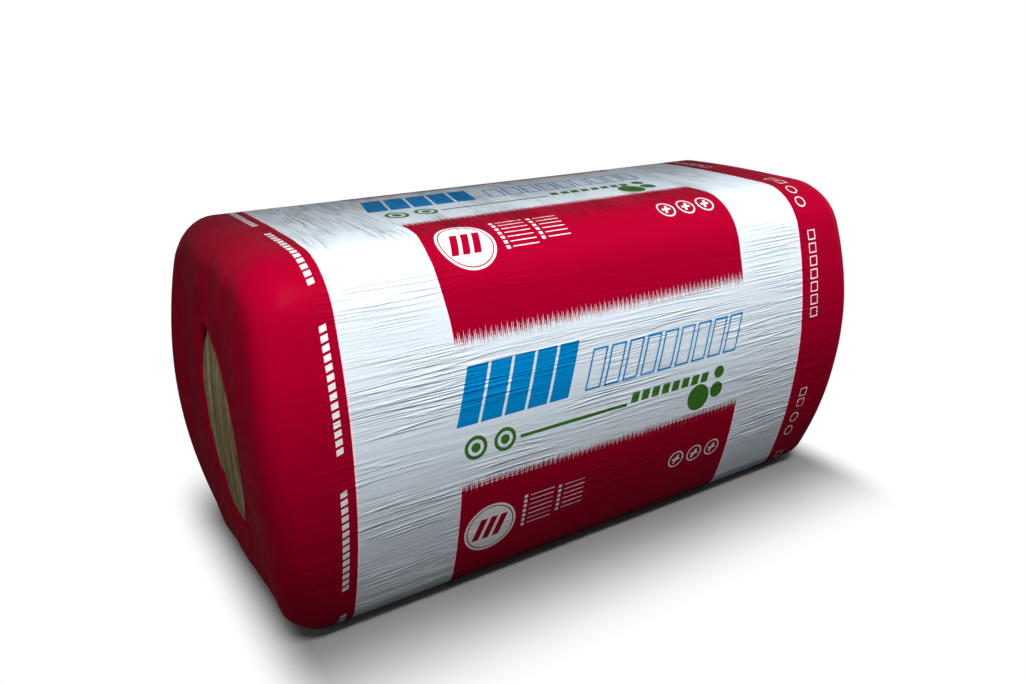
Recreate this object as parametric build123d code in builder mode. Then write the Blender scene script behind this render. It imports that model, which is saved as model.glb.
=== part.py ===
"""Shrink-wrapped pack of mineral wool boards, standing on the long edges of its boards.

X runs along the pack, Y through the stack of boards, Z up. The origin is under the middle of
the pack, on the surface that it stands on. All lengths are in millimetres.
"""

from build123d import *
from math import cos, pi, sin
import os

# Outside of the wrapped pack
pack_length = 1250.0
pack_width = 565.0
pack_height = 625.0

# Bulged sides, crowned top and domed ends, as radii of the outer film face
side_radius = 828.0
crown_radius = 3500.0
dome_radius = 1570.0
dome_height = 331.0

# Soft corners of the outer film face, and what the end corners stay under the others by
crown_corner = 109.0
base_corner = 66.0
end_corner = 50.0
corner_step = 4.0

# Number of bevels that round the rim of an end
rim_bevels = 5

# Film sleeve
film_wall = 1.2
film_clearance = 0.3

# Oval opening that the shrunk sleeve leaves in each end, with its gathered bead
opening_length = 352.0
opening_front_bulge = 105.0
opening_back_bulge = 60.0
opening_tip_radius = 22.0
opening_front_shift = 13.0
opening_height = 309.0
opening_lean = 11.0
bead_width = 5.0
bead_rise = 1.6

# Stack of compressed boards
board_count = 10
board_joint = 0.4
board_arris = 4.0

# Distance that cutting solids run past what they cut
overrun = 10.0

half_length = pack_length / 2 - bead_rise
half_width = pack_width / 2
reach = max(pack_length, pack_width, pack_height)
end_round = min(end_corner, base_corner - corner_step, crown_corner - corner_step)


def pack_section(inset):
    """Face across the pack: two bulged sides, a crowned top and a flat base."""
    with BuildSketch() as section:
        with Locations((half_width - side_radius, pack_height / 2)):
            Circle(side_radius - inset)
        with Locations((side_radius - half_width, pack_height / 2)):
            Circle(side_radius - inset, mode=Mode.INTERSECT)
        with Locations((0, pack_height - crown_radius)):
            Circle(crown_radius - inset, mode=Mode.INTERSECT)
        with Locations((0, inset)):
            Rectangle(reach, reach, align=(Align.CENTER, Align.MIN), mode=Mode.INTERSECT)
        fillet(section.vertices().group_by(Axis.Y)[-1], crown_corner - inset)
        fillet(section.vertices().group_by(Axis.Y)[0], base_corner - inset)
    return section.sketch


def round_rim(body, end_place, size):
    """Rounds the rim of one end by bevels in equal turns, each touching the same corner arc."""
    last_reach, last_turn = 0, 0
    for step in range(1, rim_bevels + 1):
        turn = pi / 2 * step / (rim_bevels + 1)
        end_reach = size * (sin(turn) + cos(turn) - 1) / cos(turn)
        on_end = end_reach - last_reach
        on_last = on_end * cos(turn) / sin(turn - last_turn)
        end_face = body.faces().sort_by(Axis.X)[end_place]
        chamfer(end_face.edges(), on_end, on_last, reference=end_face)
        last_reach, last_turn = end_reach, turn


def pack_body(inset):
    """Solid of the whole pack, drawn in by the inset, with domed ends and rounded rims."""
    with BuildPart() as body:
        with BuildSketch(Plane.YZ):
            add(pack_section(inset))
        extrude(amount=half_length - inset, both=True)
        with BuildSketch(Plane.XZ):
            with Locations((half_length - dome_radius, dome_height)):
                Circle(dome_radius - inset)
            with Locations((dome_radius - half_length, dome_height)):
                Circle(dome_radius - inset, mode=Mode.INTERSECT)
        extrude(amount=reach, both=True, mode=Mode.INTERSECT)
        for end_place in (0, -1):
            round_rim(body, end_place, end_round - inset)
    return body.part


def opening_outline(margin):
    """Face of the oval opening, leaning in the end wall, grown by the margin."""
    with BuildSketch() as outline:
        with BuildLine():
            SagittaArc((0, -opening_length / 2), (0, opening_length / 2), opening_front_bulge)
            SagittaArc((0, opening_length / 2), (0, -opening_length / 2), opening_back_bulge)
        make_face()
        fillet(outline.vertices(), opening_tip_radius)
        offset(amount=margin)
    return outline.sketch


def opening_prism(margin):
    """Bar along the pack with the opening's outline, grown by the margin."""
    place = Location((-opening_front_shift, opening_height), -opening_lean)
    with BuildPart() as prism:
        with BuildSketch(Plane.YZ):
            with Locations(place):
                add(opening_outline(margin))
        extrude(amount=half_length + overrun, both=True)
    return prism.part


# Bead of gathered film round each opening
with BuildPart() as bead:
    add(opening_prism(bead_width))
    add(pack_body(-bead_rise), mode=Mode.INTERSECT)

# Film sleeve, one skin all round the stack
with BuildPart() as film_wrap:
    add(pack_body(0))
    add(bead.part)
    add(pack_body(film_wall), mode=Mode.SUBTRACT)
    add(opening_prism(0), mode=Mode.SUBTRACT)

film_wrap.part.label = "film_wrap"

# Compressed boards, side by side through the width of the pack
wool_inset = film_wall + film_clearance
board_pitch = (pack_width - 2 * wool_inset) / board_count
joint_places = [(step - board_count / 2) * board_pitch for step in range(1, board_count)]


def arris_groove():
    """Face in plan, on a board end, between the eased arrises of two boards."""
    with BuildSketch() as groove:
        Rectangle(2 * board_arris, 2 * board_arris)
        with Locations((-board_arris, board_arris), (-board_arris, -board_arris)):
            Circle(board_arris, mode=Mode.SUBTRACT)
    return groove.sketch


with BuildPart() as wool_boards:
    add(pack_body(wool_inset))
    with Locations([(0, place, pack_height / 2) for place in joint_places]):
        Box(reach, board_joint, reach, mode=Mode.SUBTRACT)
    with BuildSketch():
        for place in joint_places:
            with Locations(Location((half_length - wool_inset, place), 0)):
                add(arris_groove())
            with Locations(Location((wool_inset - half_length, place), 180)):
                add(arris_groove())
    extrude(amount=pack_height, mode=Mode.SUBTRACT)

wool_boards.part.label = "wool_boards"

os.makedirs("parts", exist_ok=True)
export_step(film_wrap.part, "parts/film_wrap.step")
export_step(wool_boards.part, "parts/wool_boards.step")
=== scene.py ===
"""Wrapped pack of mineral wool boards: a printed shrink film sleeve round a squeezed stack.

X runs along the pack, Y goes through the stack away from the front, Z is up, in metres.
"""

import sys

import logging
import math
from collections.abc import Callable
from dataclasses import asdict, dataclass, replace
from enum import Enum
from functools import reduce

import bpy
import numpy as np
from mathutils import Matrix, Vector, kdtree, noise


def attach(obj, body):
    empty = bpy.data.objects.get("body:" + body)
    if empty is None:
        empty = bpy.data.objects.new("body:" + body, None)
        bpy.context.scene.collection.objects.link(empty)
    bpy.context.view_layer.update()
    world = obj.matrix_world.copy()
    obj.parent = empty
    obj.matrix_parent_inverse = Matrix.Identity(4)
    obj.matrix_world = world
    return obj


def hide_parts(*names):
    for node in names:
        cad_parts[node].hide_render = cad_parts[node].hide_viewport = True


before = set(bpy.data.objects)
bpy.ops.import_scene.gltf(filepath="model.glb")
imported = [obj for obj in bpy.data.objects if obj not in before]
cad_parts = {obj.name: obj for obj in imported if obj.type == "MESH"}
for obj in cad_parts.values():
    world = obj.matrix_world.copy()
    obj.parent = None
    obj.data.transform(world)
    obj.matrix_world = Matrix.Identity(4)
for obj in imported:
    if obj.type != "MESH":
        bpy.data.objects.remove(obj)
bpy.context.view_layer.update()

LOG = logging.getLogger("pack")
Object = bpy.types.Object
Socket = bpy.types.NodeSocket
Value = Socket | float | tuple[float, ...]
Tree = bpy.types.NodeTree
Pair = tuple[float, float]
Point = tuple[float, float, float]
Colour = tuple[float, float, float, float]
Arc = tuple[Pair, float, float]
Test = Callable[[np.ndarray], np.ndarray]
TOUCH = 1e-6


class End(Enum):
    """The two ends of the pack, as the sign of X."""

    LEFT = -1
    RIGHT = 1


# ---------------------------------------------------------------- modelling tools

def deselect_all() -> None:
    """Leaves nothing selected in object mode."""
    bpy.ops.object.select_all(action="DESELECT")


def start_from_point(name: str, place: Point) -> Object:
    """Adds a mesh that is one vertex and stays in edit mode with it selected.

    Args:
        name: Name of the new object.
        place: Where the vertex is.

    Returns:
        The new object.
    """
    deselect_all()
    bpy.ops.mesh.primitive_plane_add(size=0.01, location=(0.0, 0.0, 0.0))
    obj = bpy.context.object
    obj.name = name
    obj.data.name = name
    bpy.ops.object.mode_set(mode="EDIT")
    bpy.ops.mesh.select_mode(type="VERT")
    bpy.ops.mesh.select_all(action="SELECT")
    bpy.ops.mesh.merge(type="CENTER")
    bpy.ops.transform.translate(value=place)
    return obj


def extrude(step: Point) -> None:
    """Extrudes what is selected in edit mode by a step."""
    bpy.ops.mesh.extrude_region_move(TRANSFORM_OT_translate={"value": step})


def draw_line(step: Point, count: int) -> None:
    """Extrudes the selected vertex along a straight run.

    Args:
        step: Whole length and direction of the run.
        count: Number of edges in it.
    """
    part = tuple(value / count for value in step)
    for _ in range(count):
        extrude(part)


def draw_arc(centre: Point, angle: float, count: int) -> None:
    """Spins the selected vertex about a line along X.

    Args:
        centre: Point that the line goes through.
        angle: Turn in radians, from +Y to +Z.
        count: Number of edges in the arc.
    """
    bpy.ops.mesh.spin(steps=count, angle=angle, center=centre, axis=(-1.0, 0.0, 0.0))


def read(parts: bpy.types.bpy_prop_collection, name: str, width: int = 1,
         kind: type = float) -> np.ndarray:
    """Reads one attribute of all the parts of a mesh.

    Args:
        parts: Vertices, edges, loops or polygons.
        name: Name of the attribute.
        width: How many values each part has.
        kind: Type of the values.

    Returns:
        The values, in rows where each part has more than one.
    """
    values = np.empty(len(parts) * width, kind)
    parts.foreach_get(name, values)
    return values.reshape(-1, width) if width > 1 else values


def mesh_points(obj: Object) -> np.ndarray:
    """Vertex places of a mesh, one a row."""
    return read(obj.data.vertices, "co", 3)


def at_x(*places: float) -> Test:
    """Test for points that lie at any of some places along the pack."""
    return lambda points: np.min([np.abs(points[:, 0] - place) for place in places],
                                 axis=0) < TOUCH


def select_where(obj: Object, domain: str, test: Test) -> None:
    """Selects the parts of an object in edit mode that pass a test, and nothing else.

    Args:
        obj: Object in edit mode.
        domain: VERT, EDGE or FACE.
        test: Takes an array of middle points, one a row, and returns a mask.
    """
    bpy.ops.mesh.select_mode(type=domain)
    bpy.ops.mesh.select_all(action="DESELECT")
    bpy.ops.object.mode_set(mode="OBJECT")
    mesh = obj.data
    middles = mesh_points(obj)
    parts = mesh.vertices
    if domain == "EDGE":
        parts = mesh.edges
        middles = middles[read(parts, "vertices", 2, np.int32)].mean(axis=1)
    elif domain == "FACE":
        parts = mesh.polygons
        middles = read(parts, "center", 3)
    parts.foreach_set("select", test(middles))
    bpy.ops.object.mode_set(mode="EDIT")


def draw_bar(obj: Object, half: float) -> None:
    """Extrudes a loop at -half along X to +half, and closes both ends by a face.

    Args:
        obj: Object in edit mode that is the loop.
        half: Half the bar's length.
    """
    bpy.ops.mesh.select_all(action="SELECT")
    extrude((2 * half, 0.0, 0.0))
    for side in End:
        select_where(obj, "EDGE", at_x(side.value * half))
        bpy.ops.mesh.edge_face_add()


def face_outward() -> None:
    """Turns all the faces of a mesh in edit mode outward, and leaves edit mode."""
    bpy.ops.mesh.select_all(action="SELECT")
    bpy.ops.mesh.normals_make_consistent(inside=False)
    bpy.ops.object.mode_set(mode="OBJECT")


def join_pieces(pieces: list[Object], first: Object) -> None:
    """Joins some pieces into one of them.

    Args:
        pieces: All the pieces.
        first: The one that they go into.
    """
    deselect_all()
    for piece in pieces:
        piece.select_set(True)
    bpy.context.view_layer.objects.active = first
    bpy.ops.object.join()


def press(obj: Object, depth: np.ndarray, direction: str) -> None:
    """Moves each vertex by its own depth with a Displace modifier, and applies it.

    Args:
        obj: Object in object mode.
        depth: Signed distance for each vertex, in metres.
        direction: X, Y, Z or NORMAL.
    """
    for sign in (1.0, -1.0):
        part = np.maximum(depth * sign, 0.0)
        span = float(part.max())
        if span < TOUCH / 10:
            continue
        group = obj.vertex_groups.new(name="pressed")
        for index in np.flatnonzero(part).tolist():
            group.add((index,), float(part[index]) / span, "REPLACE")
        modifier = obj.modifiers.new("press", "DISPLACE")
        modifier.direction = direction
        modifier.mid_level = 0.0
        modifier.strength = sign * span
        modifier.vertex_group = "pressed"
        apply_modifier(obj, modifier.name)
        obj.vertex_groups.clear()


def apply_modifier(obj: Object, name: str) -> None:
    """Applies one modifier of an object."""
    bpy.context.view_layer.objects.active = obj
    bpy.ops.object.modifier_apply(modifier=name)


def ramp(value: np.ndarray, low: float, high: float) -> np.ndarray:
    """Smooth step from 0 at low to 1 at high."""
    share = np.clip((value - low) / (high - low), 0.0, 1.0)
    return share * share * (3.0 - 2.0 * share)


def streaks(across: np.ndarray, along: np.ndarray, seed: float) -> np.ndarray:
    """Noise from -1 to 1 at two coordinates, each already divided by its grain."""
    places = zip(across.tolist(), along.tolist())
    return np.array([noise.noise((a, b, seed)) for a, b in places])


@dataclass(frozen=True)
class Grain:
    """Noise in long strands, with their width, length and depth in metres."""

    across: float
    along: float
    depth: float
    seed: float

    def at(self, across: np.ndarray, along: np.ndarray) -> np.ndarray:
        """Height at each place, given across and along the strands."""
        return streaks(across / self.across, along / self.along, self.seed) * self.depth


# ---------------------------------------------------------------- form of the pack

@dataclass(frozen=True)
class PackForm:
    """Section across the pack and its domed ends."""

    half_length: float = 0.6234
    half_width: float = 0.2825
    height: float = 0.625
    side_radius: float = 0.828
    crown_radius: float = 3.5
    crown_corner: float = 0.109
    base_corner: float = 0.066
    end_rounding: float = 0.050
    dome_radius: float = 1.57
    dome_height: float = 0.331
    dome_reach: float = 0.17

    def arcs(self) -> list[Arc]:
        """Arcs of one half of the section, from the base to the crown.

        Returns:
            For each arc its centre in Y and Z, and its start and end angles in radians.
        """
        side = self.side_radius
        side_y, side_z = side - self.half_width, self.height / 2
        base, crown = self.base_corner, self.crown_corner
        base_y = side_y - math.sqrt((side - base) ** 2 - (side_z - base) ** 2)
        crown_z0 = self.height - self.crown_radius
        crown_y, crown_z = self._between(side_y, side_z, side - crown, crown_z0,
                                         self.crown_radius - crown)
        full = 2 * math.pi
        turn_base, turn_side, turn_crown = (
            math.atan2(up, across) % full - full
            for across, up in ((base_y - side_y, base - side_z),
                               (crown_y - side_y, crown_z - side_z),
                               (crown_y, crown_z - crown_z0)))
        return [
            ((base_y, base), -math.pi / 2, turn_base),
            ((side_y, side_z), turn_base, turn_side),
            ((crown_y, crown_z), turn_side, turn_crown),
            ((0.0, crown_z0), turn_crown, math.pi / 2 - full),
        ]

    def radii(self, inset: float) -> list[float]:
        """Radii of the arcs at a distance inside the outer face, in the same order."""
        outer = (self.base_corner, self.side_radius, self.crown_corner, self.crown_radius)
        return [radius - inset for radius in outer]

    @staticmethod
    def _between(y0: float, z0: float, r0: float, z1: float, r1: float) -> Pair:
        """Point at r0 from (y0, z0) and at r1 from (0, z1), on the -Y side and above z0.

        Args:
            y0: Y of the first centre.
            z0: Z of the first centre.
            r0: Distance from it.
            z1: Z of the second centre.
            r1: Distance from that one.

        Returns:
            The point's Y and Z.
        """
        span = math.hypot(y0, z0 - z1)
        along = (r0 ** 2 - r1 ** 2 + span ** 2) / (2 * span)
        off = math.sqrt(r0 ** 2 - along ** 2)
        uy, uz = -y0 / span, (z1 - z0) / span
        options = [(y0 + along * uy - s * off * uz, z0 + along * uz + s * off * uy)
                   for s in (1, -1)]
        return min(options, key=lambda point: point[0] if point[1] > z0 else math.inf)

    def outline(self, count: int) -> tuple[np.ndarray, np.ndarray]:
        """Closely spaced points of the whole section, and their girth.

        Args:
            count: Points on each arc.

        Returns:
            Points in Y and Z, and the way round to each, from the middle of the base up
            the front.
        """
        flat = self.arcs()[0][0][0]
        points = [(share * flat, 0.0) for share in np.linspace(0.0, 1.0, count, endpoint=False)]
        for ((y, z), start, end), radius in zip(self.arcs(), self.radii(0.0)):
            for turn in np.linspace(start, end, count):
                points.append((y + radius * math.cos(turn), z + radius * math.sin(turn)))
        front = np.array(points)
        back = front[::-1] * (-1.0, 1.0)
        whole = np.vstack((front, back))
        girth = np.concatenate(([0.0], np.cumsum(np.linalg.norm(np.diff(whole, axis=0), axis=1))))
        return whole, girth

    def dome(self, height: np.ndarray) -> np.ndarray:
        """How far the end stays back from its highest line, at a height."""
        off = height - self.dome_height
        return self.dome_radius - np.sqrt(self.dome_radius ** 2 - off ** 2)

    def draw_section(self, name: str, place: float, inset: float,
                     spacing: float) -> tuple[Object, int]:
        """Draws the section's loop at one place along the pack, by lines and arcs.

        Args:
            name: Name of the new object, left in edit mode.
            place: X of the section.
            inset: Distance inside the outer face.
            spacing: Length of an edge.

        Returns:
            The object and the number of edges in its loop.
        """
        obj = start_from_point(name, (place, 0.0, inset))
        flat = self.arcs()[0][0][0]
        edges = max(2, round(abs(flat) / spacing))
        draw_line((0.0, flat, 0.0), edges)
        total = 2 * edges
        half = [(centre, end - start, max(2, round(abs(end - start) * radius / spacing)))
                for (centre, start, end), radius in zip(self.arcs(), self.radii(inset))]
        for hand, arcs in ((1, half), (-1, reversed(half))):
            for (y, z), turn, count in arcs:
                draw_arc((place, hand * y, z), turn, count)
                total += count
        draw_line((0.0, flat, 0.0), edges)
        bpy.ops.mesh.select_all(action="SELECT")
        bpy.ops.mesh.remove_doubles(threshold=spacing * 0.2)
        return obj, total


@dataclass(frozen=True)
class Opening:
    """Leaning lens that the shrunk sleeve leaves in each end."""

    length: float = 0.360
    front_bulge: float = 0.118
    back_bulge: float = 0.064
    tip_radius: float = 0.022
    front_shift: float = 0.013
    height: float = 0.309
    lean: float = math.radians(11.0)

    def place(self, across: float, up: float) -> Pair:
        """Point of the leaning lens in the pack's Y and Z."""
        cos, sin = math.cos(self.lean), math.sin(self.lean)
        return (across * cos + up * sin - self.front_shift, -across * sin + up * cos + self.height)

    def _side(self, bulge: float) -> Pair:
        """Radius of one side's arc, and how far its centre is from the lens's long line."""
        radius = ((self.length / 2) ** 2 + bulge ** 2) / (2 * bulge)
        return radius, radius - bulge

    def arcs(self) -> list[Arc]:
        """Arcs round the lens: centre in Y and Z, radius, and turn in radians.

        Returns:
            For each arc its centre, its radius and its turn.
        """
        tip = self.tip_radius
        front, front_off = self._side(self.front_bulge)
        back, back_off = self._side(self.back_bulge)
        # tip circle that touches both arcs from inside
        a, ra, b, rb = front_off, front - tip, -back_off, back - tip
        across = (ra ** 2 - rb ** 2 - a ** 2 + b ** 2) / (2 * (b - a))
        up = math.sqrt(ra ** 2 - (across - a) ** 2)
        turn_front = math.atan2(up, a - across)
        turn_back = math.atan2(up, across - b)
        turn_tip = -(math.pi - turn_front - turn_back)
        return [
            (self.place(a, 0.0), front, -2 * turn_front),
            (self.place(across, up), tip, turn_tip),
            (self.place(b, 0.0), back, -2 * turn_back),
            (self.place(across, -up), tip, turn_tip),
        ]

    def start(self) -> Pair:
        """Point where the front arc starts, at its lower end.

        Returns:
            The point's Y and Z.
        """
        _, radius, turn = self.arcs()[0]
        _, off = self._side(self.front_bulge)
        angle = -turn / 2
        return self.place(off - radius * math.cos(angle), -radius * math.sin(angle))

    def edge(self, spacing: float) -> list[Pair]:
        """Points of the lens in Y and Z, at about a spacing.

        Args:
            spacing: Distance between two points.

        Returns:
            The points, in order round the lens.
        """
        points = []
        at = self.start()
        for (cy, cz), radius, turn in self.arcs():
            first = math.atan2(at[1] - cz, at[0] - cy)
            count = max(8, round(abs(turn) * radius / spacing))
            for angle in np.linspace(first, first + turn, count):
                points.append((cy + radius * math.cos(angle), cz + radius * math.sin(angle)))
            at = points[-1]
        return points

    def fullness(self, y: np.ndarray, z: np.ndarray) -> np.ndarray:
        """How far inside the lens each point is, from 0 at its edge to 1 at its middle.

        Args:
            y: Y of each point.
            z: Z of each point.

        Returns:
            The share of each point.
        """
        off_y, off_z = y + self.front_shift, z - self.height
        cos, sin = math.cos(self.lean), math.sin(self.lean)
        across = off_y * cos - off_z * sin + (self.front_bulge - self.back_bulge) / 2
        up = off_y * sin + off_z * cos
        width = (self.front_bulge + self.back_bulge) / 2
        return np.clip(1.0 - (across / width) ** 2 - (2 * up / self.length) ** 2, 0.0, 1.0)

    def counts(self, total: int) -> list[int]:
        """Shares out a number of edges over the four arcs by their length.

        Args:
            total: Number of edges.

        Returns:
            Number of edges of each arc.
        """
        lengths = [radius * abs(turn) for _, radius, turn in self.arcs()]
        counts = [round(total * length / sum(lengths)) for length in lengths]
        counts[0] += total - sum(counts)
        return counts


# ---------------------------------------------------------------- film sleeve

@dataclass
class FilmSleeve:
    """Shrunk sleeve of printed film, one skin with a gathered opening in each end."""

    form: PackForm
    opening: Opening
    girth_step: float = 0.0034
    length_cuts: int = 70
    rim_segments: int = 8
    end_rings: int = 17
    draw_out: float = 0.1
    weld: float = 0.0002
    # rings of film inside the drawn loop, from a collar to the lens, and its turned-in lip
    collar: float = 1.16
    collar_rings: int = 6
    lip_rings: int = 3
    lip_step: float = 0.0010
    # bead and puckers round an opening, and how far the ends bulge
    edge_step: float = 0.0012
    bead_width: float = 0.008
    bead_rise: float = 0.0014
    pucker_count: float = 9.0
    pucker_depth: float = 0.0028
    pucker_seed: float = 2.7
    end_rise: float = 0.003
    end_bulge: float = 0.002
    # where the end's wrinkles and the crown take over, and the calm printed panels
    cap: Pair = (0.575, 0.612)
    crown: Pair = (0.560, 0.605)
    calm: float = 0.75
    calm_along: Pair = (-0.33, -0.27)
    calm_round: Pair = (0.24, 0.30)
    # wrinkles of the sides and of the ends
    broad: Grain = Grain(0.12, 0.38, 0.0015, 3.1)
    drift: Grain = Grain(0.35, 0.40, 0.006, 5.2)
    fine: Grain = Grain(0.0125, 0.22, 1.0, 7.7)
    patch: Grain = Grain(0.10, 0.30, 1.0, 9.3)
    swell: Grain = Grain(0.085, 0.50, 0.0080, 4.4)
    gather: Grain = Grain(0.030, 0.22, 0.0018, 1.3)
    crease_sharpness: float = 2.6
    crease_depth: float = 0.0005
    outline_points: int = 600
    name: str = "film_sleeve"
    obj: Object | None = None

    def build(self) -> Object:
        """Models the sleeve, lays its print map and shrinks its wrinkles in.

        Returns:
            The finished piece.
        """
        end = self.form.half_length
        self.obj, count = self.form.draw_section(self.name, -end, 0.0, self.girth_step)
        draw_bar(self.obj, end)
        select_where(self.obj, "EDGE", at_x(-end, end))
        bpy.ops.mesh.bevel(offset=self.form.end_rounding, segments=self.rim_segments,
                           affect="EDGES", clamp_overlap=False)
        bpy.ops.object.mode_set(mode="OBJECT")
        join_pieces([*(self._draw_opening(side, count) for side in End), self.obj], self.obj)
        bpy.ops.object.mode_set(mode="EDIT")
        for side in End:
            self._open_end(side)
        select_where(self.obj, "EDGE", at_x(0.0))
        bpy.ops.mesh.subdivide_edgering(number_cuts=self.length_cuts, interpolation="LINEAR",
                                        smoothness=0.0)
        face_outward()
        self._dome_ends()
        self._map_print()
        self._shrink_wrinkles()
        bpy.ops.object.shade_smooth()
        return self.obj

    def _draw_opening(self, side: End, count: int) -> Object:
        """Draws the loop of one opening, grown by the collar, as an object of its own.

        Args:
            side: Which end.
            count: Edges in the loop.

        Returns:
            The loop, in object mode.
        """
        out = side.value * (self.form.half_length + self.draw_out)
        middle = self.opening.place(0.0, 0.0)

        def grown(place: Pair) -> Pair:
            """Place moved away from the lens's middle."""
            return tuple(m + self.collar * (p - m) for p, m in zip(place, middle))

        rim = start_from_point("rim", (out, *grown(self.opening.start())))
        for (centre, _, turn), edges in zip(self.opening.arcs(), self.opening.counts(count)):
            draw_arc((out, *grown(centre)), turn, edges)
        bpy.ops.mesh.select_all(action="SELECT")
        bpy.ops.mesh.remove_doubles(threshold=self.weld)
        bpy.ops.object.mode_set(mode="OBJECT")
        return rim

    def _open_end(self, side: End) -> None:
        """Replaces one flat end by rings that run into the opening, and tucks its lip in.

        Args:
            side: Which end.
        """
        end = side.value * self.form.half_length
        out = side.value * (self.form.half_length + self.draw_out)
        select_where(self.obj, "FACE", at_x(end))
        bpy.ops.mesh.delete(type="ONLY_FACE")
        select_where(self.obj, "EDGE", at_x(end, out))
        bpy.ops.mesh.bridge_edge_loops(number_cuts=self.end_rings, interpolation="LINEAR")
        select_where(self.obj, "EDGE", at_x(out))
        shrink = self.collar ** (-1.0 / self.collar_rings)
        for ring in range(self.collar_rings + self.lip_rings):
            extrude((side.value * self.lip_step, 0.0, 0.0))
            if ring < self.collar_rings:
                bpy.ops.transform.resize(value=(1.0, shrink, shrink),
                                         center_override=(0.0, *self.opening.place(0.0, 0.0)))
        self._flatten_end(side)

    def _flatten_end(self, side: End) -> None:
        """Presses the drawn-out end flat, and turns its lip in.

        Args:
            side: Which end.
        """
        bpy.ops.object.mode_set(mode="OBJECT")
        end = self.form.half_length
        x = mesh_points(self.obj)[:, 0] * side.value
        lip = np.maximum(x - end - self.draw_out - self.collar_rings * self.lip_step, 0.0)
        moved = np.where(x > end, end - lip, x) - x
        press(self.obj, moved * side.value, "X")
        bpy.ops.object.mode_set(mode="EDIT")

    def _dome_ends(self) -> None:
        """Draws the end faces back above and below their highest line."""
        points = mesh_points(self.obj)
        reach = ramp(np.abs(points[:, 0]), self.form.half_length - self.form.dome_reach,
                     self.form.half_length - self.form.end_rounding)
        back = self.form.dome(points[:, 2]) * reach
        press(self.obj, -np.sign(points[:, 0]) * back, "X")

    def _girth_at(self, across: np.ndarray, up: np.ndarray) -> np.ndarray:
        """Way round the pack to each point, from the middle of the base up the front.

        Args:
            across: Y of each point.
            up: Z of each point.

        Returns:
            The way to each point, in metres.
        """
        whole, girth = self.form.outline(self.outline_points)
        middle = self.form.height / 2
        turn = np.unwrap(np.arctan2(-whole[:, 0], middle - whole[:, 1]))
        wanted = np.arctan2(-across, middle - up) % (2 * math.pi)
        return np.interp(wanted, turn, girth)

    def _map_print(self) -> None:
        """Lays the print map: along the pack in U and round it in V, both in metres."""
        mesh = self.obj.data
        points = mesh_points(self.obj)
        corners = read(mesh.loops, "vertex_index", 1, np.int32)
        starts = read(mesh.polygons, "loop_start", 1, np.int32)
        sizes = read(mesh.polygons, "loop_total", 1, np.int32)
        v = self._girth_at(points[:, 1], points[:, 2])[corners]
        # faces over the middle of the base run on past a whole turn
        top = np.maximum.reduceat(v, starts)[np.repeat(np.arange(len(sizes)), sizes)]
        whole = self.form.outline(self.outline_points)[1][-1]
        v = np.where((top > 0.7 * whole) & (v < 0.3 * whole), v + whole, v)
        layer = mesh.uv_layers.new(name="print")
        layer.data.foreach_set("uv", np.column_stack((points[corners, 0], v)).ravel())

    def _shrink_wrinkles(self) -> None:
        """Draws the film into long creases on its sides and gathers round the openings."""
        x, y, z = mesh_points(self.obj).T
        girth = self._girth_at(y, z)
        cap = ramp(np.abs(x), *self.cap)
        drift = self.drift.at(girth, x)
        fine = self.fine.at(girth + drift, x)
        calm = 1.0 - self.calm * ramp(-np.abs(x), *self.calm_along) * ramp(
            (girth - PrintPlan.first) % PrintPlan.repeat, *self.calm_round)
        patch = ramp(self.patch.at(girth, x), -0.30, 0.25) * calm
        ridge = np.clip(1.0 - np.abs(fine) * self.crease_sharpness, 0.0, 1.0) ** 1.5
        side = ridge * self.crease_depth * patch * (1.0 - ramp(z, *self.crown))
        side += self.broad.at(girth, x)
        gap = self._edge_gap(x, y, z)
        bead = self.bead_rise * np.sin(np.clip(gap / self.bead_width, 0.0, 1.0) * math.pi)
        around = np.arctan2(y + self.opening.front_shift, (z - self.opening.height) * 0.5)
        pucker = self.pucker_depth * streaks(np.sin(around) * self.pucker_count,
                                             np.cos(around) * self.pucker_count, self.pucker_seed)
        pucker *= ramp(gap, 0.0, 0.012) * (1.0 - ramp(gap, 0.02, 0.11))
        wave = self.swell.at(y, z) + self.gather.at(y, z) + self.end_bulge
        end = self.end_rise + wave * ramp(gap, 0.0, 0.07) + bead + pucker
        press(self.obj, (side * (1.0 - cap) + end * cap) * ramp(z, 0.002, 0.03), "NORMAL")

    def _edge_gap(self, x: np.ndarray, y: np.ndarray, z: np.ndarray) -> np.ndarray:
        """Distance across an end from each point to the edge of its opening, at most 1.

        Args:
            x: X of each point.
            y: Y of each point.
            z: Z of each point.

        Returns:
            The distance of each point, 1 away from the ends.
        """
        near = np.flatnonzero(np.abs(x) > self.form.half_length - self.form.dome_reach)
        gap = np.ones(len(x))
        for across, up in self.opening.edge(self.edge_step):
            gap[near] = np.minimum(gap[near], np.hypot(y[near] - across, z[near] - up))
        return gap


# ---------------------------------------------------------------- wool

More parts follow.
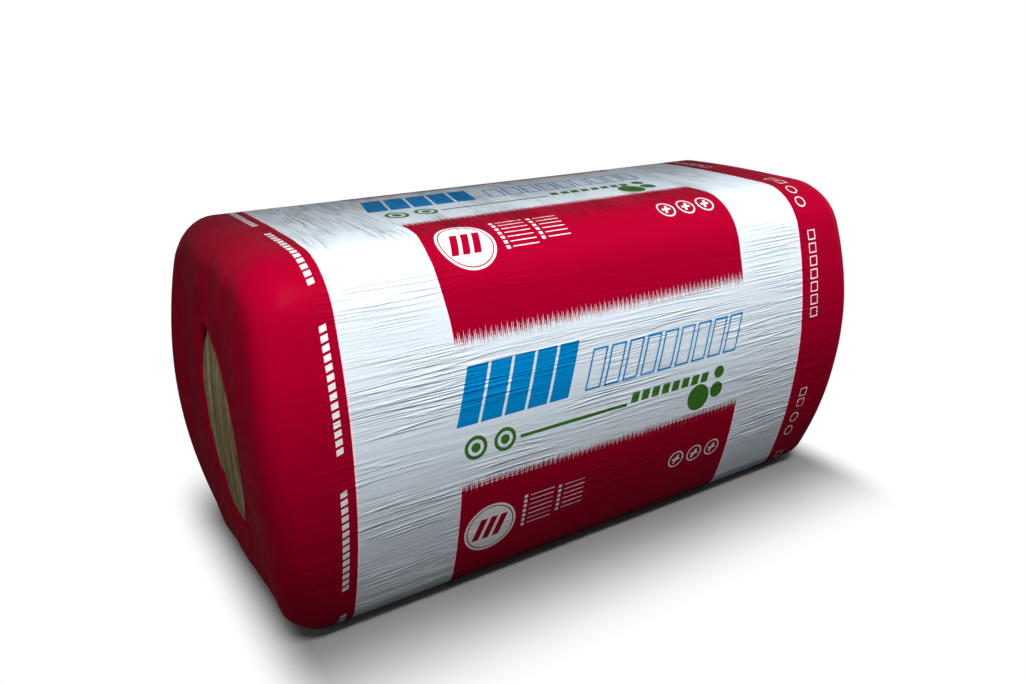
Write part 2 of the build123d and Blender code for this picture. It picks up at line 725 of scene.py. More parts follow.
@dataclass
class WoolStack:
    """Squeezed boards of mineral wool, cut to the pack's form."""

    form: PackForm
    opening: Opening
    count: int = 10
    swelling: float = 0.0085
    film: float = 0.0045
    ease: float = 0.004
    grid: float = 0.0056
    rough: Grain = Grain(0.009, 0.06, 0.0012, 5.0)
    overrun: float = 0.05
    former_step: float = 0.012
    outline_points: int = 60
    name: str = "wool_boards"

    def build(self) -> Object:
        """Models the boards one by one and joins them into one piece.

        Returns:
            The finished piece.
        """
        former = self._former()
        pitch = 2 * (self.form.half_width - self.film) / self.count
        boards = [self._board(number, pitch, former) for number in range(self.count)]
        bpy.data.objects.remove(former)
        join_pieces(boards, boards[0])
        stack = bpy.context.object
        stack.name = stack.data.name = self.name
        bpy.ops.object.shade_smooth_by_angle(angle=math.radians(40.0))
        return stack

    def _former(self) -> Object:
        """Closed bar along the pack with its section, drawn in by the film.

        Returns:
            The bar.
        """
        reach = self.form.half_length + self.overrun
        former, _ = self.form.draw_section("former", -reach, self.film, self.former_step)
        draw_bar(former, reach)
        face_outward()
        return former

    def _board(self, number: int, pitch: float, former: Object) -> Object:
        """One board, domed with the pack's ends and cut to its form.

        Args:
            number: Place in the stack, from the front.
            pitch: Thickness of a squeezed board.
            former: Bar that cuts the board's long edges.

        Returns:
            The board.
        """
        middle = (number - (self.count - 1) / 2) * pitch
        end = self.form.half_length - self.film
        tall = self.form.height - 2 * self.film
        deselect_all()
        start = (-end, middle, self.form.height / 2)
        bpy.ops.mesh.primitive_grid_add(x_subdivisions=round(tall / self.grid),
                                        y_subdivisions=round(pitch / self.grid), size=1.0,
                                        rotation=(0.0, math.pi / 2, 0.0), location=start)
        board = bpy.context.object
        board.name = f"board_{number}"
        bpy.ops.object.transform_apply(location=True, rotation=True, scale=True)
        bpy.ops.object.mode_set(mode="EDIT")
        bpy.ops.mesh.select_all(action="SELECT")
        bpy.ops.transform.resize(value=(1.0, pitch, tall), center_override=start)
        extrude((2 * end, 0.0, 0.0))
        face_outward()
        self._shape_ends(board, middle, pitch)
        cut = board.modifiers.new("cut", "BOOLEAN")
        cut.operation = "INTERSECT"
        cut.solver = "EXACT"
        cut.object = former
        apply_modifier(board, cut.name)
        return board

    def _shape_ends(self, board: Object, middle: float, thick: float) -> None:
        """Domes, rounds and roughens both ends of a board.

        Args:
            board: Board in object mode.
            middle: Y of the board's middle.
            thick: Its thickness.
        """
        x, y, z = mesh_points(board).T
        outline, _ = self.form.outline(self.outline_points)
        tree = kdtree.KDTree(len(outline))
        for index, (py, pz) in enumerate(outline):
            tree.insert((0.0, py, pz), index)
        tree.balance()
        edge = np.array([tree.find((0.0, py, pz))[2] for py, pz in zip(y, z)])
        edge = np.clip(edge - self.film, 0.0, self.form.end_rounding)
        rounding = self.form.end_rounding
        rim = rounding - np.sqrt(np.maximum(rounding ** 2 - (rounding - edge) ** 2, 0.0))
        share = np.abs(y - middle) / (thick / 2)
        back = self.form.dome(z) + rim + self.ease * share ** 4
        rough = replace(self.rough, seed=self.rough.seed + middle)
        full = self.swelling * ramp(self.opening.fullness(y, z), 0.0, 0.35)
        back += rough.at(y, z) + rough.depth - full
        press(board, -np.sign(x) * back, "X")


# ---------------------------------------------------------------- finishes

class Nodes:
    """Adds and joins the nodes of one shader tree."""

    def __init__(self, tree: Tree) -> None:
        """Keeps the tree that the nodes go into."""
        self.tree = tree

    def add(self, kind: str, **settings: str | bool) -> bpy.types.Node:
        """Adds a node of a kind, such as TexNoise, and sets its properties.

        Args:
            kind: Its type without the word ShaderNode.
            settings: Its properties.

        Returns:
            The node.
        """
        node = self.tree.nodes.new("ShaderNode" + kind)
        for name, value in settings.items():
            setattr(node, name, value)
        return node

    def feed(self, socket: Socket, value: Value) -> None:
        """Links a socket to another one, or sets its own value.

        Args:
            socket: Input of a node.
            value: Output of another node, or a constant.
        """
        if isinstance(value, Socket):
            self.tree.links.new(value, socket)
        else:
            socket.default_value = value

    def math(self, operation: str, *values: Value, clamp: bool = False) -> Socket:
        """Result of one operation on up to three values or sockets.

        Args:
            operation: Name of the operation.
            values: What it works on.
            clamp: Whether the result is held between 0 and 1.

        Returns:
            The result.
        """
        node = self.add("Math", operation=operation, use_clamp=clamp)
        for socket, value in zip(node.inputs, values):
            self.feed(socket, value)
        return node.outputs[0]

    def near(self, value: Value, place: Value, reach: Value) -> Socket:
        """Mask that is on where a value is within a reach of a place."""
        off = self.math("ABSOLUTE", self.math("SUBTRACT", value, place))
        return self.math("LESS_THAN", off, reach)

    def every(self, *masks: Value) -> Socket:
        """Mask that is on where all the masks are."""
        return reduce(lambda one, other: self.math("MULTIPLY", one, other), masks)

    def either(self, *masks: Value) -> Socket:
        """Mask that is on where any of the masks is."""
        return reduce(lambda one, other: self.math("MAXIMUM", one, other), masks)

    def join(self, x: Value, y: Value, z: Value = 0.0) -> Socket:
        """Vector of three values or sockets.

        Args:
            x: Its X.
            y: Its Y.
            z: Its Z.

        Returns:
            The vector.
        """
        node = self.add("CombineXYZ")
        for socket, value in zip(node.inputs, (x, y, z)):
            self.feed(socket, value)
        return node.outputs[0]

    def split(self, vector: Socket) -> list[Socket]:
        """Splits a vector.

        Args:
            vector: The vector.

        Returns:
            Its X, Y and Z.
        """
        node = self.add("SeparateXYZ")
        self.feed(node.inputs[0], vector)
        return list(node.outputs)

    def noise(self, vector: Socket, detail: float, roughness: float = 0.5) -> Socket:
        """Value of a noise texture at a vector.

        Args:
            vector: Place, already divided by the grain.
            detail: Number of finer layers.
            roughness: How strong each layer is against the last.

        Returns:
            The value, about 0.5.
        """
        node = self.add("TexNoise")
        for name, value in (("Vector", vector), ("Scale", 1.0), ("Detail", detail),
                            ("Roughness", roughness)):
            self.feed(node.inputs[name], value)
        return node.outputs["Fac"]

    def bump(self, height: Socket, strength: float, distance: float) -> Socket:
        """Normal of a surface with a height on it.

        Args:
            height: The height, about 0 to 1.
            strength: Share of it that shows.
            distance: What a height of 1 stands for, in metres.

        Returns:
            The normal.
        """
        node = self.add("Bump")
        for name, value in (("Height", height), ("Strength", strength), ("Distance", distance)):
            self.feed(node.inputs[name], value)
        return node.outputs[0]

    def ramp(self, value: Socket, low: float, high: float, to_low: Value = 0.0,
             to_high: Value = 1.0) -> Socket:
        """Value carried smoothly from one range to another.

        Args:
            value: What is carried.
            low: Start of its range.
            high: End of its range.
            to_low: Result at the start.
            to_high: Result at the end.

        Returns:
            The result.
        """
        node = self.add("MapRange", interpolation_type="SMOOTHSTEP")
        for socket, given in zip(node.inputs, (value, low, high, to_low, to_high)):
            self.feed(socket, given)
        return node.outputs[0]

    def mix(self, mask: Value, first: Value, second: Value) -> Socket:
        """Colour that goes from the first to the second with a mask.

        Args:
            mask: Share of the second.
            first: Colour where the mask is 0.
            second: Colour where the mask is 1.

        Returns:
            The colour.
        """
        node = self.add("Mix", data_type="RGBA")
        self.feed(node.inputs["Factor"], mask)
        self.feed(node.inputs[6], first)
        self.feed(node.inputs[7], second)
        return node.outputs[2]

    def group(self, group: Tree, **values: Value) -> Socket:
        """First output of a node group, with its named inputs fed.

        Args:
            group: The node group.
            values: Its inputs, such as half_length for Half length.

        Returns:
            The output.
        """
        node = self.tree.nodes.new("ShaderNodeGroup")
        node.node_tree = group
        for name, value in values.items():
            self.feed(node.inputs[name.replace("_", " ").capitalize()], value)
        return node.outputs[0]


class NodeGroup:
    """Shader node group with named inputs and one output."""

    def __init__(self, name: str, output: str, **defaults: float | None) -> None:
        """Adds the empty group.

        Args:
            name: Name of the group.
            output: Name of its output.
            defaults: Its inputs and their values; a vector input starts at None.
        """
        self.tree = bpy.data.node_groups.new(name, "ShaderNodeTree")
        self.nodes = Nodes(self.tree)
        for key, value in defaults.items():
            kind = "NodeSocketVector" if value is None else "NodeSocketFloat"
            socket = self.tree.interface.new_socket(key.replace("_", " ").capitalize(),
                                                    in_out="INPUT", socket_type=kind)
            if value is not None:
                socket.default_value = value
        self.tree.interface.new_socket(output, in_out="OUTPUT", socket_type="NodeSocketFloat")
        self.inside = self.tree.nodes.new("NodeGroupInput")
        self.outside = self.tree.nodes.new("NodeGroupOutput")

    def cell(self, local: Socket) -> tuple[Socket, Socket]:
        """Cell of a row of marks, with inputs pitch and count.

        Args:
            local: Way along the row from its start.

        Returns:
            A mask of the row's own cells, and the way from the cell's middle.
        """
        n = self.nodes
        number = n.math("FLOOR", n.math("DIVIDE", local, self["pitch"]))
        inside = n.every(n.math("GREATER_THAN", number, -0.5),
                         n.math("LESS_THAN", number, n.math("SUBTRACT", self["count"], 0.5)))
        middle = n.math("MULTIPLY", n.math("ADD", number, 0.5), self["pitch"])
        return inside, n.math("SUBTRACT", local, middle)

    def __getitem__(self, name: str) -> Socket:
        """Socket of one input, seen from inside."""
        return self.inside.outputs[name.replace("_", " ").capitalize()]

    def finish(self, value: Socket) -> Tree:
        """Links the result to the output and returns the group."""
        self.tree.links.new(value, self.outside.inputs[0])
        return self.tree


def new_finish(name: str) -> tuple[bpy.types.Material, Nodes, bpy.types.Node]:
    """Adds a material, and returns it with its nodes and its shader.

    Args:
        name: Name of the material.

    Returns:
        The material, its nodes and its shader.
    """
    material = bpy.data.materials.new(name)
    material.use_nodes = True
    shader = material.node_tree.nodes["Principled BSDF"]
    return material, Nodes(material.node_tree), shader


def bar_row_group() -> Tree:
    """Row of like slanted bars along U, solid or as outlines.

    Returns:
        The node group.
    """
    group = NodeGroup("print_bar_row", "Mask", u=0.0, v=0.0, start=0.0, pitch=0.1, count=1.0,
                      half_length=0.02, half_height=0.02, middle=0.0, slant=0.0, line=1.0)
    n = group.nodes
    up = n.math("SUBTRACT", group["v"], group["middle"])
    lean = n.math("MULTIPLY", up, group["slant"])
    inside, across = group.cell(
        n.math("SUBTRACT", n.math("SUBTRACT", group["u"], group["start"]), lean))
    full, inner = (
        n.every(*(n.near(off, 0.0, n.math("SUBTRACT", group[half], line))
                  for off, half in ((across, "half_length"), (up, "half_height"))))
        for line in (0.0, group["line"]))
    return group.finish(n.every(inside, n.math("SUBTRACT", full, inner)))


def ring_row_group() -> Tree:
    """Row of like rings or discs along U.

    Returns:
        The node group.
    """
    group = NodeGroup("print_ring_row", "Mask", u=0.0, v=0.0, start=0.0, pitch=0.1, count=1.0,
                      radius=0.02, line=1.0, middle=0.0)
    n = group.nodes
    inside, across = group.cell(n.math("SUBTRACT", group["u"], group["start"]))
    up = n.math("SUBTRACT", group["v"], group["middle"])
    far = n.math("SQRT", n.math("ADD", n.math("POWER", across, 2.0), n.math("POWER", up, 2.0)))
    full = n.math("LESS_THAN", far, group["radius"])
    inner = n.math("LESS_THAN", far, n.math("SUBTRACT", group["radius"], group["line"]))
    return group.finish(n.every(inside, n.math("SUBTRACT", full, inner)))


def brush_edge_group() -> Tree:
    """Edge of ink that ends in tapering bristles: on above the edge, in strands below it.

    Returns:
        The node group.
    """
    group = NodeGroup("print_brush_edge", "Mask", u=0.0, v=0.0, edge=0.0, depth=0.02, grain=0.003,
                      shortest=0.66, gap_length=0.012, gap_height=0.0016)
    n = group.nodes
    below = n.math("DIVIDE", n.math("SUBTRACT", group["edge"], group["v"]), group["depth"])
    strands = []
    for share, seed in ((1.0, 4.0), (0.73, 9.0)):
        along = n.math("DIVIDE", group["u"], n.math("MULTIPLY", group["grain"], share))
        number = n.math("FLOOR", along)
        chance = n.add("TexWhiteNoise", noise_dimensions="2D")
        n.feed(chance.inputs["Vector"], n.join(number, seed))
        reach = n.math("ADD", group["shortest"], n.math(
            "MULTIPLY", chance.outputs["Value"], n.math("SUBTRACT", 1.0, group["shortest"])))
        off = n.math("ABSOLUTE", n.math("SUBTRACT", n.math("FRACT", along), 0.5))
        cover = n.math("SUBTRACT", 1.0, n.math("DIVIDE", below, reach))
        strands.append(n.math("LESS_THAN", n.math("MULTIPLY", off, 2.0), cover))
    gaps = n.noise(n.join(n.math("DIVIDE", group["u"], group["gap_length"]),
                          n.math("DIVIDE", group["v"], group["gap_height"])), 1.0)
    broken = n.math("GREATER_THAN", gaps, n.ramp(below, 0.1, 0.9, 0.10, 0.44))
    body = n.math("LESS_THAN", below, 0.0)
    return group.finish(n.either(body, n.every(n.either(*strands), broken)))


def crease_group() -> Tree:
    """Height of long narrow creases that run along U, as a shrunk film has.

    Returns:
        The node group.
    """
    group = NodeGroup("film_creases", "Height", u=0.0, v=0.0, across=0.008, along=0.15, seed=0.0,
                      lean=0.013, sharpness=15.0, calm_height=0.06)
    n = group.nodes
    lean = n.noise(n.join(n.math("MULTIPLY", group["u"], 2.5),
                          n.math("MULTIPLY", group["v"], 3.0), group["seed"]), 1.0)
    v = n.math("ADD", group["v"], n.math("MULTIPLY", lean, group["lean"]))
    wave = n.noise(n.join(n.math("DIVIDE", group["u"], group["along"]),
                          n.math("DIVIDE", v, group["across"]), group["seed"]), 1.0)
    off = n.math("ABSOLUTE", n.math("SUBTRACT", wave, 0.5))
    fold = n.math("SUBTRACT", 1.0, n.math("MULTIPLY", off, group["sharpness"]), clamp=True)
    patch = n.ramp(n.noise(n.join(n.math("MULTIPLY", group["u"], 4.0),
                                  n.math("MULTIPLY", group["v"], 12.0), group["seed"]), 1.0),
                   0.40, 0.62, group["calm_height"])
    return group.finish(n.math("MULTIPLY", fold, patch))


def streak_group() -> Tree:
    """Fibre streaks that run along one direction of a vector, from 0 to 1.

    Returns:
        The node group.
    """
    group = NodeGroup("wool_streaks", "Value", vector=None, across=0.003, along=0.05, seed=0.0,
                      bend=0.012)
    n = group.nodes
    x, y, z = n.split(group["vector"])
    bend = n.noise(n.join(n.math("MULTIPLY", y, 40.0), n.math("MULTIPLY", z, 9.0)), 2.0)
    lay = n.math("ADD", y, n.math("MULTIPLY", bend, group["bend"]))
    place = n.join(n.math("DIVIDE", lay, group["across"]), n.math("DIVIDE", z, group["along"]),
                   n.math("ADD", n.math("DIVIDE", x, group["along"]), group["seed"]))
    return group.finish(n.noise(place, 4.0, 0.65))


@dataclass(frozen=True)
class Bars:
    """Row of like bars on the print, in metres: solid, or as outlines of a line's width."""

    start: float
    pitch: float
    count: int
    half_length: float
    half_height: float
    middle: float
    slant: float = 0.0
    line: float = 1.0


@dataclass(frozen=True)
class Rings:
    """Row of like discs on the print, in metres, or of rings of a line's width."""

    start: float
    pitch: float
    count: int
    radius: float
    middle: float
    line: float = 1.0


Marks = tuple[Bars | Rings, ...]


@dataclass(frozen=True)
class PrintPlan:
    """Where the inks go on the film, in metres along the pack and round it."""

    band_left: float = -0.498
    band_right: float = 0.462
    panel_left: float = -0.322
    panel_right: float = 0.301
    first: float = 0.432
    repeat: float = 0.503
    panel_edge: float = 0.280
    fringe: float = 0.034
    back_fringe: float = 0.026
    bristle: float = 0.0036
    outline: float = 0.0017
    dash_first: float = 0.300
    # how far the left edge of a panel bows out where the front meets the crown, and where
    bow: float = 0.010
    bow_start: Pair = (0.70, 0.80)
    bow_stop: Pair = (0.83, 0.93)
    white: Colour = (0.74, 0.83, 0.91, 1.0)
    red: Colour = (0.350, 0.0, 0.020, 1.0)
    blue: Colour = (0.0, 0.24, 0.60, 1.0)
    green: Colour = (0.045, 0.17, 0.02, 1.0)
    rim: Colour = (1.0, 0.80, 0.88, 1.0)
    mark: Colour = (0.86, 0.84, 0.86, 1.0)
    blue_bars: Marks = (
        Bars(-0.318, 0.0440, 5, 0.0192, 0.048, 0.172, 0.28),
        Bars(-0.0735, 0.0405, 9, 0.0165, 0.036, 0.163, 0.28, 0.0037))
    green_marks: Marks = (
        Bars(-0.210, 0.225, 1, 0.1125, 0.0030, 0.079),
        Rings(-0.322, 0.055, 2, 0.0210, 0.082, 0.0065),
        Rings(-0.322, 0.055, 2, 0.0085, 0.082),
        Bars(0.022, 0.024, 8, 0.0085, 0.0095, 0.089, 0.25),
        Rings(0.160, 0.060, 1, 0.0270, 0.050),
        Rings(0.218, 0.036, 1, 0.0160, 0.056),
        Rings(0.224, 0.030, 1, 0.0125, 0.092))
    badge: Marks = (Rings(-0.312, 0.108, 1, 0.0505, 0.414),)
    badge_gaps: Marks = (
        Rings(-0.312, 0.108, 1, 0.0462, 0.414, 0.0022),
        Bars(-0.289, 0.020, 3, 0.0066, 0.022, 0.414, 0.35))
    # rows that run round the pack
    lists: Marks = (
        Bars(0.388, 0.0105, 7, 0.0032, 0.0034, -0.190),
        Bars(0.388, 0.0105, 7, 0.0009, 0.0250, -0.156),
        Bars(0.396, 0.0105, 6, 0.0032, 0.0034, -0.118),
        Bars(0.396, 0.0105, 6, 0.0009, 0.0225, -0.086))
    icons: Marks = (
        Rings(0.138, 0.0475, 3, 0.0190, 0.421, 0.0030),
        Bars(0.138, 0.0475, 3, 0.0028, 0.0095, 0.421, 0.5),
        Bars(0.138, 0.0475, 3, 0.0095, 0.0024, 0.421))
    # left band's dashes, and right band's rings and blocks
    dashes: Marks = (Bars(0.012, 0.0140, 14, 0.0048, 0.0055, -0.519, 0.3),)
    band_rings: Marks = (
        Rings(0.480, 0.030, 1, 0.0125, 0.390, 0.0026),
        Rings(0.484, 0.030, 1, 0.0125, 0.424, 0.0026))
    band_blocks: Marks = (
        Bars(0.150, 0.0260, 7, 0.0100, 0.0105, 0.499, 0.0, 0.0022),
        Bars(0.447, 0.0260, 2, 0.0100, 0.0105, 0.505, 0.0, 0.0022))


@dataclass(frozen=True)
class Strands:
    """One size of creases or fibres: how far apart and how long they are, in metres."""

    across: float
    along: float
    seed: float


@dataclass(frozen=True)
class PrintedFilm:
    """Glossy shrunk polyethylene film, white with red, blue and green inks."""

    plan: PrintPlan = PrintPlan()
    name: str = "printed_film"
    roughness: float = 0.36
    sheen: float = 0.05
    haze_change: Pair = (-0.05, 0.08)
    fine: Strands = Strands(0.0095, 0.34, 3.0)
    finer: Strands = Strands(0.0048, 0.14, 8.0)
    folds: Strands = Strands(0.019, 0.19, 5.0)
    small_folds: Strands = Strands(0.009, 0.12, 2.0)
    ends: Strands = Strands(0.014, 0.10, 6.0)
    finer_share: float = 0.30
    fold_share: float = 2.3
    end_share: float = 0.14
    calm: float = 0.72
    depth: float = 0.0013
    # where the crown starts and stops, the calm panels fade out and the ends take over
    crown_start: Pair = (0.845, 0.905)
    crown_stop: Pair = (1.205, 1.265)
    calm_along: Pair = (0.27, 0.34)
    calm_round: Pair = (0.48, 0.60)
    flank: Pair = (0.48, 0.58)

    def make(self) -> bpy.types.Material:
        """Builds the material.

        Returns:
            The material.
        """
        material, n, shader = new_finish(self.name)
        u, v, _ = n.split(n.add("UVMap", uv_map="print").outputs[0])
        haze = n.noise(n.join(n.math("MULTIPLY", u, 7.0), n.math("MULTIPLY", v, 25.0)), 3.0)
        n.feed(shader.inputs["Base Color"], self._ink(n, u, v))
        n.feed(shader.inputs["Normal"], n.bump(self._height(n, u, v), 1.0, self.depth))
        n.feed(shader.inputs["Roughness"], n.ramp(
            haze, 0.3, 0.7, *(self.roughness + change for change in self.haze_change)))
        n.feed(shader.inputs["Specular IOR Level"], self.sheen)
        return material

    def _height(self, n: Nodes, u: Socket, v: Socket) -> Socket:
        """Height of the creases: along the sides, across the crown and down the ends.

        Args:
            n: Nodes of the material.
            u: Place along the pack.
            v: Place round the pack.

        Returns:
            The height.
        """
        group = crease_group()
        fine, finer = (n.group(group, u=u, v=v, **asdict(size)) for size in (self.fine, self.finer))
        folds = n.math("ADD", *(n.group(group, u=v, v=u, **asdict(size))
                                for size in (self.folds, self.small_folds)))
        crown = n.every(n.ramp(v, *self.crown_start), n.ramp(v, *self.crown_stop, 1.0, 0.0))
        turns = n.math("DIVIDE", n.math("SUBTRACT", v, self.plan.first), self.plan.repeat)
        away = n.math("ABSOLUTE", u)
        calm = n.every(n.ramp(away, *self.calm_along, self.calm, 0.0),
                       n.ramp(n.math("FRACT", turns), *self.calm_round))
        sides = n.every(n.math("ADD", fine, n.math("MULTIPLY", finer, self.finer_share)),
                        n.math("SUBTRACT", 1.0, calm), n.math("SUBTRACT", 1.0, crown))
        sides = n.math("ADD", sides, n.every(folds, crown, self.fold_share))
        _, y, z = n.split(n.add("TexCoord").outputs["Object"])
        ends = n.group(group, u=z, v=y, **asdict(self.ends))
        flank = n.ramp(away, *self.flank)
        return n.math("ADD", n.every(sides, n.math("SUBTRACT", 1.0, flank)),
                      n.every(ends, flank, self.end_share))

    def _ink(self, n: Nodes, u: Socket, v: Socket) -> Socket:
        """Colour of the print at a place.

        Args:
            n: Nodes of the material.
            u: Place along the pack.
            v: Place round the pack.

        Returns:
            The colour.
        """
        plan = self.plan
        groups = {Bars: bar_row_group(), Rings: ring_row_group()}
        brush = brush_edge_group()

        def marks(rows: Marks, along: Socket, across: Socket) -> Socket:
            """Mask of some rows of marks."""
            return n.either(*(n.group(groups[type(row)], u=along, v=across, **asdict(row))
                              for row in rows))

        def wrapped(first: float, repeat: float) -> Socket:
            """Place round the pack within one repeat of the print."""
            turns = n.math("DIVIDE", n.math("SUBTRACT", v, first), repeat)
            return n.math("MULTIPLY", n.math("FRACT", turns), repeat)

        h = wrapped(plan.first, plan.repeat)
        bow = n.every(n.ramp(v, *plan.bow_start), n.ramp(v, *plan.bow_stop, plan.bow, 0.0))
        left = n.math("SUBTRACT", plan.panel_left, bow)
        ragged = n.either(
            n.group(brush, u=u, v=h, edge=plan.panel_edge, depth=plan.fringe,
                    grain=plan.bristle),
            n.group(brush, u=u, v=n.math("SUBTRACT", 0.0, h), edge=0.0, depth=plan.back_fringe,
                    grain=plan.bristle))
        panel = n.every(n.math("GREATER_THAN", u, left),
                        n.math("LESS_THAN", u, plan.panel_right), ragged)
        band = n.either(n.math("LESS_THAN", u, plan.band_left),
                        n.math("GREATER_THAN", u, plan.band_right))
        band_rims, panel_rims = (
            n.either(*(n.near(u, edge, plan.outline) for edge in edges))
            for edges in ((plan.band_left, plan.band_right), (left, plan.panel_right)))
        panel_marks = n.either(
            n.math("SUBTRACT", marks(plan.badge, u, h), marks(plan.badge_gaps, u, h)),
            marks(plan.lists, h, u), marks(plan.icons, u, h))
        band_marks = n.either(
            marks(plan.dashes, wrapped(plan.dash_first, plan.repeat / 2), u),
            marks(plan.band_rings, u, h), marks(plan.band_blocks, h, u))
        colour = plan.white
        for mask, ink in ((marks(plan.blue_bars, u, h), plan.blue),
                          (marks(plan.green_marks, u, h), plan.green),
                          (n.either(panel, band), plan.red),
                          (n.either(band_rims, n.every(ragged, panel_rims)), plan.rim),
                          (n.either(n.every(panel, panel_marks), n.every(band, band_marks)),
                           plan.mark)):
            colour = n.mix(mask, colour, ink)
        return colour


@dataclass(frozen=True)
class MineralWool:
    """Matt compressed glass wool, brown with lighter and darker fibre layers."""

    name: str = "mineral_wool"
    dark: Colour = (0.135, 0.098, 0.042, 1.0)
    light: Colour = (0.43, 0.36, 0.20, 1.0)
    roughness: float = 0.95
    sheen: float = 0.15
    broad: Strands = Strands(0.012, 0.16, 2.0)
    fine: Strands = Strands(0.0016, 0.020, 6.0)
    broad_share: float = 0.6
    bump: float = 0.8
    depth: float = 0.002

    def make(self) -> bpy.types.Material:
        """Builds the material.

        Returns:
            The material.
        """
        material, n, shader = new_finish(self.name)
        place = n.add("TexCoord").outputs["Object"]
        group = streak_group()
        broad, fine = (n.group(group, vector=place, **asdict(size))
                       for size in (self.broad, self.fine))
        tone = n.math("ADD", n.math("MULTIPLY", broad, self.broad_share),
                      n.math("MULTIPLY", fine, 1.0 - self.broad_share))
        n.feed(shader.inputs["Base Color"], n.mix(n.ramp(tone, 0.33, 0.66), self.dark, self.light))
        n.feed(shader.inputs["Normal"], n.bump(fine, self.bump, self.depth))
        n.feed(shader.inputs["Roughness"], self.roughness)
        n.feed(shader.inputs["Specular IOR Level"], self.sheen)
        return material


# ---------------------------------------------------------------- studio

@dataclass(frozen=True)
class Camera:
    """Viewpoint of the picture, round a point on the pack's middle line."""

    turn: float = -0.5717
    rise: float = 0.3563
    roll: float = -0.0041
    distance: float = 1.7136
    aim: Point = (-0.0426, 0.0, 0.3359)
    lens: float = 30.472
    sensor: float = 36.0

    def build(self) -> None:
        """Adds the camera and makes it the scene's own."""
        data = bpy.data.cameras.new("camera")
        data.lens = self.lens
        data.sensor_width = self.sensor
        camera = bpy.data.objects.new("camera", data)
        bpy.context.scene.collection.objects.link(camera)
        turned = (Matrix.Rotation(self.turn, 4, "Z")
                  @ Matrix.Rotation(math.pi / 2 - self.rise, 4, "X")
                  @ Matrix.Rotation(self.roll, 4, "Z"))
        camera.matrix_world = (Matrix.Translation(self.aim) @ turned
                               @ Matrix.Translation((0.0, 0.0, self.distance)))
        bpy.context.scene.camera = camera


@dataclass(frozen=True)
class Lamp:
    """Area lamp that faces a point and isn't seen itself."""

    name: str
    place: Point
    aim: Point
    size: Pair
    power: float
    spread: float = 180.0

    def build(self) -> None:
        """Adds the lamp."""
        data = bpy.data.lights.new(self.name, "AREA")
        data.spread = math.radians(self.spread)
        data.shape = "RECTANGLE"
        data.size, data.size_y = self.size
        data.energy = self.power
        lamp = bpy.data.objects.new(self.name, data)
        bpy.context.scene.collection.objects.link(lamp)
        lamp.location = self.place
        facing = Vector(self.aim) - Vector(self.place)
        lamp.rotation_euler = facing.to_track_quat("-Z", "Y").to_euler()
        lamp.visible_camera = False
        lamp.visible_glossy = False


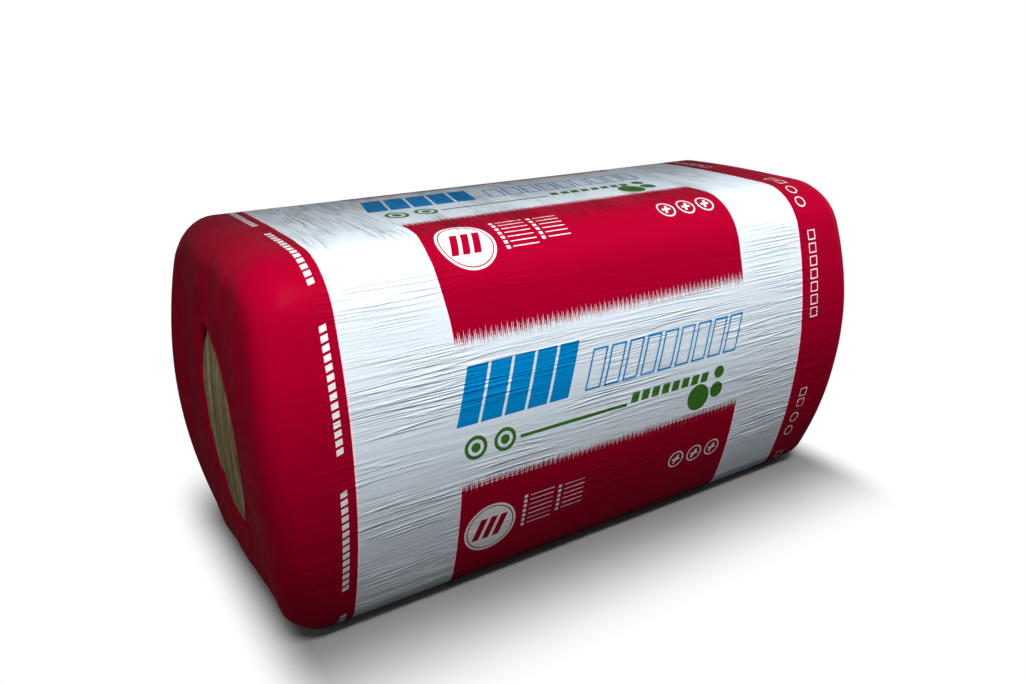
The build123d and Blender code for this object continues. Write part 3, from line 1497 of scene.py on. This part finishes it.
@dataclass(frozen=True)
class Studio:
    """Pale floor with painted shade round the pack, a long soft lamp over the front, weaker ones
    round the pack and an even sky.
    """

    floor_size: float = 40.0
    sky: float = 0.13
    floor_light: Colour = (0.06, 0.06, 0.06, 1.0)
    # grey that the camera sees on the floor round the pack: painted shade, and the real shadow
    # falls on it too
    floor_seen: Colour = (0.27, 0.27, 0.27, 1.0)
    floor_roughness: float = 0.14
    floor_sheen: float = 0.7
    # half sides of the patch round the pack where the floor is painted grey as shade and keeps its
    # real shadow too, and how that painted shade fades into the white
    patch: Pair = (0.57, 0.21)
    end_fade: float = 2.7
    fade: float = 0.28
    lamps: tuple[Lamp, ...] = (
        Lamp("front", (0.0, -0.82, 1.50), (0.0, -0.27, 0.57), (2.0, 0.3), 5.1, 46.0),
        Lamp("back", (0.4, 2.8, 0.5), (0.2, 0.2, 0.3), (1.6, 0.8), 14.0),
        Lamp("right", (3.0, 0.3, 0.6), (0.6, 0.0, 0.3), (1.0, 0.8), 14.0),
        Lamp("side", (-2.8, -1.0, 1.2), (-0.6, -0.1, 0.3), (1.2, 1.2), 9.0))

    def build(self) -> None:
        """Adds the floor, the lamps and the world light."""
        deselect_all()
        bpy.ops.mesh.primitive_plane_add(size=self.floor_size, location=(0.0, 0.0, 0.0))
        floor = bpy.context.object
        floor.name = "floor"
        floor.data.materials.append(self._floor_finish())
        scene = bpy.context.scene
        scene.world = scene.world or bpy.data.worlds.new("studio")
        scene.world.use_nodes = True
        n = Nodes(scene.world.node_tree)
        back = scene.world.node_tree.nodes["Background"]
        seen = n.add("LightPath").outputs["Is Camera Ray"]
        n.feed(back.inputs["Strength"], n.math("MAXIMUM", seen, self.sky))
        n.feed(back.inputs["Color"], (1.0, 1.0, 1.0, 1.0))
        for lamp in self.lamps:
            lamp.build()

    def _floor_finish(self) -> bpy.types.Material:
        """Floor that keeps the pack's real shadow, is painted grey as shade round the pack and goes
        over into the white background.

        Returns:
            The material.
        """
        material, n, shader = new_finish("studio_floor")
        seen = n.add("LightPath").outputs["Is Camera Ray"]
        # the camera sees the grey of the painted shade, other rays see the darker floor_light
        n.feed(shader.inputs["Base Color"], n.mix(seen, self.floor_light, self.floor_seen))
        n.feed(shader.inputs["Roughness"], self.floor_roughness)
        n.feed(shader.inputs["Specular IOR Level"], self.floor_sheen)
        glow = n.add("Emission")
        n.feed(glow.inputs["Color"], (1.0, 1.0, 1.0, 1.0))
        x_off, y_off = (
            n.math("MAXIMUM", n.math("SUBTRACT", n.math("ABSOLUTE", off), half), 0.0)
            for off, half in zip(n.split(n.add("TexCoord").outputs["Object"]), self.patch))
        x_off = n.math("MULTIPLY", x_off, self.end_fade)
        gap = n.math("SQRT", n.math("ADD", *(n.math("POWER", off, 2.0) for off in (x_off, y_off))))
        # away from the pack the white glow covers the painted shade, so the floor fades to white
        blend = n.add("MixShader")
        for socket, value in zip(blend.inputs, (
                n.math("MULTIPLY", n.ramp(gap, 0.0, self.fade), seen),
                shader.outputs[0], glow.outputs[0])):
            n.feed(socket, value)
        n.feed(material.node_tree.nodes["Material Output"].inputs["Surface"], blend.outputs[0])
        return material


def main() -> None:
    """Builds the pack and its studio, and reports each piece."""
    logging.basicConfig(level=logging.INFO, format="%(name)s: %(message)s", stream=sys.stdout)
    scene = bpy.context.scene
    scene.view_settings.view_transform = "Standard"
    form = PackForm()
    sleeve = FilmSleeve(form, Opening()).build()
    sleeve.data.materials.append(PrintedFilm().make())
    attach(sleeve, "root")
    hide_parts("film_wrap")
    stack = WoolStack(form, Opening()).build()
    stack.data.materials.append(MineralWool().make())
    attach(stack, "root")
    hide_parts("wool_boards")
    for piece in (sleeve, stack):
        LOG.info("%s: %d faces", piece.name, len(piece.data.polygons))
    Camera().build()
    Studio().build()


if __name__ == "__main__":
    main()
